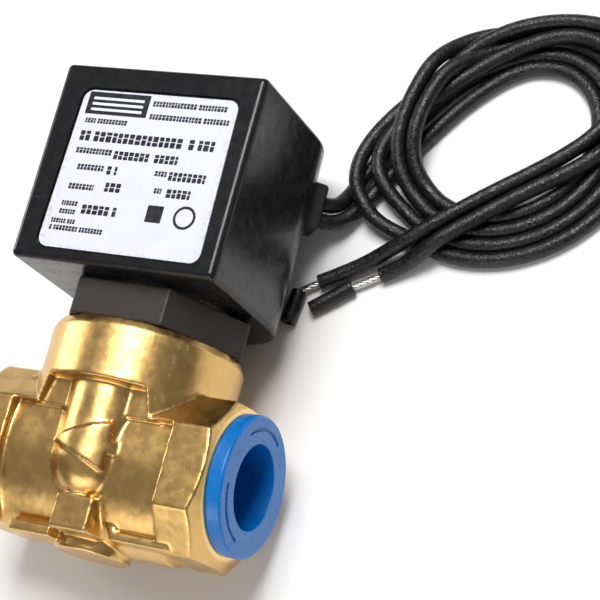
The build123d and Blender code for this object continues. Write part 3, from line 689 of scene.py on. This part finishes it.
def make_bonnet():
    """The hexagonal bonnet, its corners eased."""
    mesh = softened("bonnet", voxel=0.24, passes=3)
    bonnet = mesh_piece("hex_bonnet", mesh, "valve_unit", "dark_bonnet")
    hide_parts("bonnet")


def make_springs():
    """The two coil springs, each a fixed copy of its CAD shape riding on the valve unit."""
    for node, joint in (
        ("diaphragm_spring", "diaphragm_lift"),
        ("plunger_spring", "plunger_lift"),
    ):
        mesh = frame["nodes"][node].data.copy()
        spring = mesh_piece(f"{node}_wire", mesh, "valve_unit", "spring_steel")
        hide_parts(node)
        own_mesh(spring)


# ------------------------------------------------------------ label print
PRINT_DEPTH = 0.03
PRINT_ROOT = 0.004
FILM_FACE = -COIL_FRONT + LABEL_RECESS - LABEL_THICKNESS
# The print is laid out in millimetres from the label's upper left corner
LABEL_LEFT = LABEL_CENTRE[0] - LABEL_HALF_WIDTH
LABEL_TOP = LABEL_CENTRE[1] + LABEL_HALF_HEIGHT


def block(shape, left, top, width, height, lift=0.0):
    """A thin printed block, its corners a little cut."""
    cut = min(0.1, 0.14 * min(width, height))
    right, foot = left + width, top + height
    outline = [
        (left + cut, top), (right - cut, top), (right, top + cut),
        (right, foot - cut), (right - cut, foot), (left + cut, foot),
        (left, foot - cut), (left, top + cut),
    ]
    printed(shape, outline, lift)


def printed(shape, outline, lift=0.0):
    """A closed outline on the label as a thin solid."""
    low = FILM_FACE + PRINT_ROOT
    high = FILM_FACE - PRINT_DEPTH - lift
    back = [shape.verts.new(place(LABEL_LEFT + x, low, LABEL_TOP - y))
            for x, y in outline]
    face = [shape.verts.new(place(LABEL_LEFT + x, high, LABEL_TOP - y))
            for x, y in outline]
    shape.faces.new(face)
    shape.faces.new(back[::-1])
    count = len(outline)
    for i in range(count):
        j = (i + 1) % count
        shape.faces.new((face[i], back[i], back[j], face[j]))


def row_of_marks(shape, rng, left, top, length, height):
    """A row of plain marks of uneven width, standing for a line of print."""
    x = left
    while x < left + length - 0.2 * height:
        width = height * rng.uniform(0.40, 0.58)
        if rng.random() < 0.08:
            x += 0.3 * height
            continue
        width = min(width, left + length - x)
        # Each mark is two plain blocks with a hairline between them
        split = height * rng.uniform(0.34, 0.6)
        hairline = 0.08 * height
        block(shape, x, top, width, split - hairline / 2)
        block(shape, x, top + split + hairline / 2, width,
              height - split - hairline / 2)
        x += width + 0.14 * height


def ring(shape, x, y, outer, inner):
    """A plain printed ring."""
    steps = 48
    turns = [2 * math.pi * i / steps for i in range(steps + 1)]
    for a, b in zip(turns, turns[1:]):
        printed(shape, [
            (x + outer * math.cos(a), y + outer * math.sin(a)),
            (x + outer * math.cos(b), y + outer * math.sin(b)),
            (x + inner * math.cos(b), y + inner * math.sin(b)),
            (x + inner * math.cos(a), y + inner * math.sin(a)),
        ])


def close_print(shape, name, material):
    """Turn the printed shapes into one piece on the label."""
    mesh_piece(name, closed_mesh(name, shape), "coil_unit", "label_film", material)


def make_print():
    """Unreadable print: rows of marks, a striped block and two plain shapes."""
    rng = random.Random(11)
    dark = bmesh.new()
    block(dark, 1.1, 0.35, 12.9, 4.4)
    # left, top, length and height of each row
    rows = [
        (14.8, 1.3, 15.4, 1.05), (14.8, 3.85, 16.2, 1.05),
        (1.7, 5.6, 8.9, 0.95),
        (1.6, 8.15, 27.9, 1.95),
        (1.7, 11.5, 7.6, 1.1), (9.8, 11.6, 13.2, 1.6),
        (3.0, 14.7, 5.5, 1.1), (9.3, 14.65, 2.1, 1.6),
        (19.2, 14.65, 2.4, 1.0), (22.1, 14.6, 7.4, 1.65),
        (2.4, 18.55, 5.2, 1.1), (9.4, 17.8, 3.8, 1.75),
        (19.4, 17.9, 2.1, 1.0), (22.1, 17.85, 5.3, 1.65),
        (2.0, 22.0, 3.6, 0.9), (2.0, 23.6, 3.6, 0.9), (6.5, 22.4, 7.3, 1.75),
        (0.9, 25.5, 5.2, 0.85), (0.9, 26.8, 11.2, 0.95),
    ]
    for row in rows:
        row_of_marks(dark, rng, *row)
    # Two plain shapes: a solid square and a closed ring
    block(dark, 19.8, 21.2, 3.2, 3.2)
    ring(dark, 27.5, 22.9, 2.2, 1.7)
    close_print(dark, "label_print", ink)

    pale = bmesh.new()
    for top in (1.35, 2.45, 3.55):
        block(pale, 2.2, top, 10.7, 0.5, PRINT_DEPTH)
    close_print(pale, "label_block_marks", white_print)


# ------------------------------------------------------------ leads
def make_lead(name, route):
    """One insulated lead as a smooth curve through its route."""
    curve = bpy.data.curves.new(name, "CURVE")
    curve.dimensions = "3D"
    spline = curve.splines.new("NURBS")
    spline.points.add(len(route) - 1)
    for point, place_mm in zip(spline.points, route):
        point.co = (*(c * MM for c in place_mm), 1.0)
    spline.order_u = 3
    spline.use_endpoint_u = True
    spline.resolution_u = 8
    curve.bevel_depth = LEAD_RADIUS * MM
    curve.bevel_resolution = 6
    curve.use_fill_caps = True
    curve.materials.append(finishes["lead_insulation"])
    lead = bpy.data.objects.new(name, curve)
    bpy.context.collection.objects.link(lead)
    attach(lead, "coil_unit")
    return lead


def tube(shape, points, radius, sides=8):
    """A thin round wire through points, closed at both ends."""
    rings = []
    for i, point in enumerate(points):
        ahead = points[min(i + 1, len(points) - 1)] - points[max(i - 1, 0)]
        turn = ahead.to_track_quat("Z", "Y")
        rings.append([
            shape.verts.new(point + turn @ Vector((
                radius * math.cos(2 * math.pi * k / sides),
                radius * math.sin(2 * math.pi * k / sides), 0)))
            for k in range(sides)
        ])
    for near, far in zip(rings, rings[1:]):
        for k in range(sides):
            n = (k + 1) % sides
            shape.faces.new((near[k], near[n], far[n], far[k]))
    shape.faces.new(rings[0][::-1])
    shape.faces.new(rings[-1])


def make_strands(name, ends, seed):
    """Seven tinned wires in a slack twist between a lead and its slug."""
    rng = random.Random(seed)
    start, end = (Vector(p) * MM for p in ends)
    ahead = (end - start).normalized()
    # The wires reach a little way into the insulation at both ends
    tuck = 0.6
    start, end = start - ahead * tuck * MM, end + ahead * tuck * MM
    turn = ahead.to_track_quat("Z", "Y")
    wire_radius, lay_radius, lay_length, most_slack = 0.19, 0.38, 7.5, 0.12
    length = (end - start).length
    steps = 24
    shape = bmesh.new()
    tube(shape, [start.lerp(end, i / steps) for i in range(steps + 1)],
         wire_radius * MM)
    for k in range(6):
        slack = rng.uniform(0.0, most_slack)
        points = []
        for i in range(steps + 1):
            share = i / steps
            angle = (2 * math.pi * k / 6
                     + 2 * math.pi * share * length / (lay_length * MM))
            reach = (lay_radius + slack * math.sin(math.pi * share)) * MM
            offset = Vector((math.cos(angle), math.sin(angle), 0)) * reach
            points.append(start.lerp(end, share) + turn @ offset)
        tube(shape, points, wire_radius * MM)
    mesh = closed_mesh(name, shape)
    mesh.shade_smooth()
    return mesh_piece(name, mesh, "coil_unit", "tinned_copper")


def make_slug(name, ends, seed):
    """A cut length of insulation pushed along the strands, its far end hollow."""
    rng = random.Random(seed)
    start, end = (Vector(p) * MM for p in ends)
    turn = (end - start).to_track_quat("Z", "Y")
    length = (end - start).length / MM
    outer, hole, depth, ease = LEAD_RADIUS, 0.72, 2.6, 0.22
    corner, lip = 0.07, 0.1
    dent_depth, dent_width, dent_length = 0.05, 1.3, 1.6
    sharp_above = math.radians(50)
    # Distance along the slug and radius, from the near face round to the hole
    profile = [(0.0, 0.0), (0.0, outer - ease), (corner, outer - corner),
               (ease, outer)]
    profile += [(ease + (length - 2 * ease) * i / 16, outer) for i in range(1, 16)]
    profile += [
        (length - ease, outer), (length - corner, outer - corner),
        (length, outer - ease), (length, hole + lip), (length - lip, hole),
        (length - depth, hole), (length - depth, 0.0),
    ]
    sides = 40
    seed_point = Vector((rng.uniform(0, 50), rng.uniform(0, 50), 0))
    shape = bmesh.new()
    rings = []
    for along, radius in profile:
        if radius == 0:
            middle = start + turn @ Vector((0, 0, along * MM))
            rings.append([shape.verts.new(middle)])
            continue
        loop = []
        for k in range(sides):
            angle = 2 * math.pi * k / sides
            way = Vector((math.cos(angle), math.sin(angle), 0))
            spot = (way * dent_width + seed_point
                    + Vector((0, 0, along / dent_length)))
            dent = dent_depth * (noise.noise(spot) - 0.5)
            reach = radius + (dent if radius > outer - ease - 0.01 else 0.0)
            loop.append(shape.verts.new(
                start + turn @ ((way * reach + Vector((0, 0, along))) * MM)))
        rings.append(loop)
    for near, far in zip(rings, rings[1:]):
        for k in range(sides):
            n = (k + 1) % sides
            if len(near) == 1:
                shape.faces.new((near[0], far[n], far[k]))
            elif len(far) == 1:
                shape.faces.new((near[k], near[n], far[0]))
            else:
                shape.faces.new((near[k], near[n], far[n], far[k]))
    mesh = closed_mesh(name, shape)
    mesh.shade_smooth()
    mesh.set_sharp_from_angle(angle=sharp_above)
    return mesh_piece(name, mesh, "coil_unit", "lead_insulation")


lead_a = make_lead("lead_a", route_a)
lead_b = make_lead("lead_b", route_b)
strands_a = make_strands("strands_a", STRANDS_A, 3)
strands_b = make_strands("strands_b", STRANDS_B, 5)
slug_a = make_slug("slug_a", SLUG_A, 7)
slug_b = make_slug("slug_b", SLUG_B, 9)
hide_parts("lead_a_start", "lead_loops", "lead_a_tail")
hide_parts("lead_b_start", "lead_b_tail")
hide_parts("lead_a_strands")
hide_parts("lead_b_strands")
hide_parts("lead_a_slug")
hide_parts("lead_b_slug")

make_body()
make_outlet_thread()
make_plug()
make_bonnet()
make_springs()
make_print()


# ------------------------------------------------------------ stage
def make_floor():
    """A plain pale floor under the valve."""
    half = 1.5
    shape = bmesh.new()
    corners = [(-half, -half), (half, -half), (half, half), (-half, half)]
    shape.faces.new([shape.verts.new((x, y, 0.0)) for x, y in corners])
    mesh = bpy.data.meshes.new("floor")
    shape.to_mesh(mesh)
    shape.free()
    mesh.materials.append(floor_white())
    floor = bpy.data.objects.new("floor", mesh)
    bpy.context.collection.objects.link(floor)


def soft_light(name, position, target, size, power):
    """A rectangular soft light aimed at a point."""
    lamp = bpy.data.lights.new(name, "AREA")
    lamp.shape = "RECTANGLE"
    lamp.size, lamp.size_y = size
    lamp.energy = power
    light = bpy.data.objects.new(name, lamp)
    light.location = position
    aim = Vector(target) - Vector(position)
    light.rotation_euler = aim.to_track_quat("-Z", "Y").to_euler()
    bpy.context.collection.objects.link(light)


def make_lights():
    """Plain soft studio light: a key, a front and a side light, a grey room."""
    middle = (0.01, 0.0, 0.02)
    soft_light("key", (0.06, 0.26, 0.70), middle, (0.34, 0.40), 5.6)
    soft_light("front", (-0.05, -0.75, 0.30), middle, (0.7, 0.3), 2.4)
    soft_light("side", (-0.75, 0.15, 0.28), middle, (0.2, 0.4), 1.5)
    world = bpy.data.worlds.new("room")
    world.use_nodes = True
    tree = world.node_tree
    # The room is dark at the horizon and paler overhead
    way = tree.nodes.new("ShaderNodeTexCoord").outputs["Generated"]
    parts = tree.nodes.new("ShaderNodeSeparateXYZ")
    tree.links.new(way, parts.inputs[0])
    ramp = tree.nodes.new("ShaderNodeValToRGB")
    tree.links.new(parts.outputs["Z"], ramp.inputs["Fac"])
    horizon, overhead = ramp.color_ramp.elements
    horizon.position, horizon.color = 0.10, (0.16, 0.15, 0.14, 1)
    overhead.position, overhead.color = 0.75, (0.40, 0.39, 0.40, 1)
    background = tree.nodes["Background"]
    tree.links.new(ramp.outputs["Color"], background.inputs["Color"])
    background.inputs["Strength"].default_value = 0.7
    bpy.context.scene.world = world
    bpy.context.scene.view_settings.view_transform = "Standard"


make_floor()
make_lights()
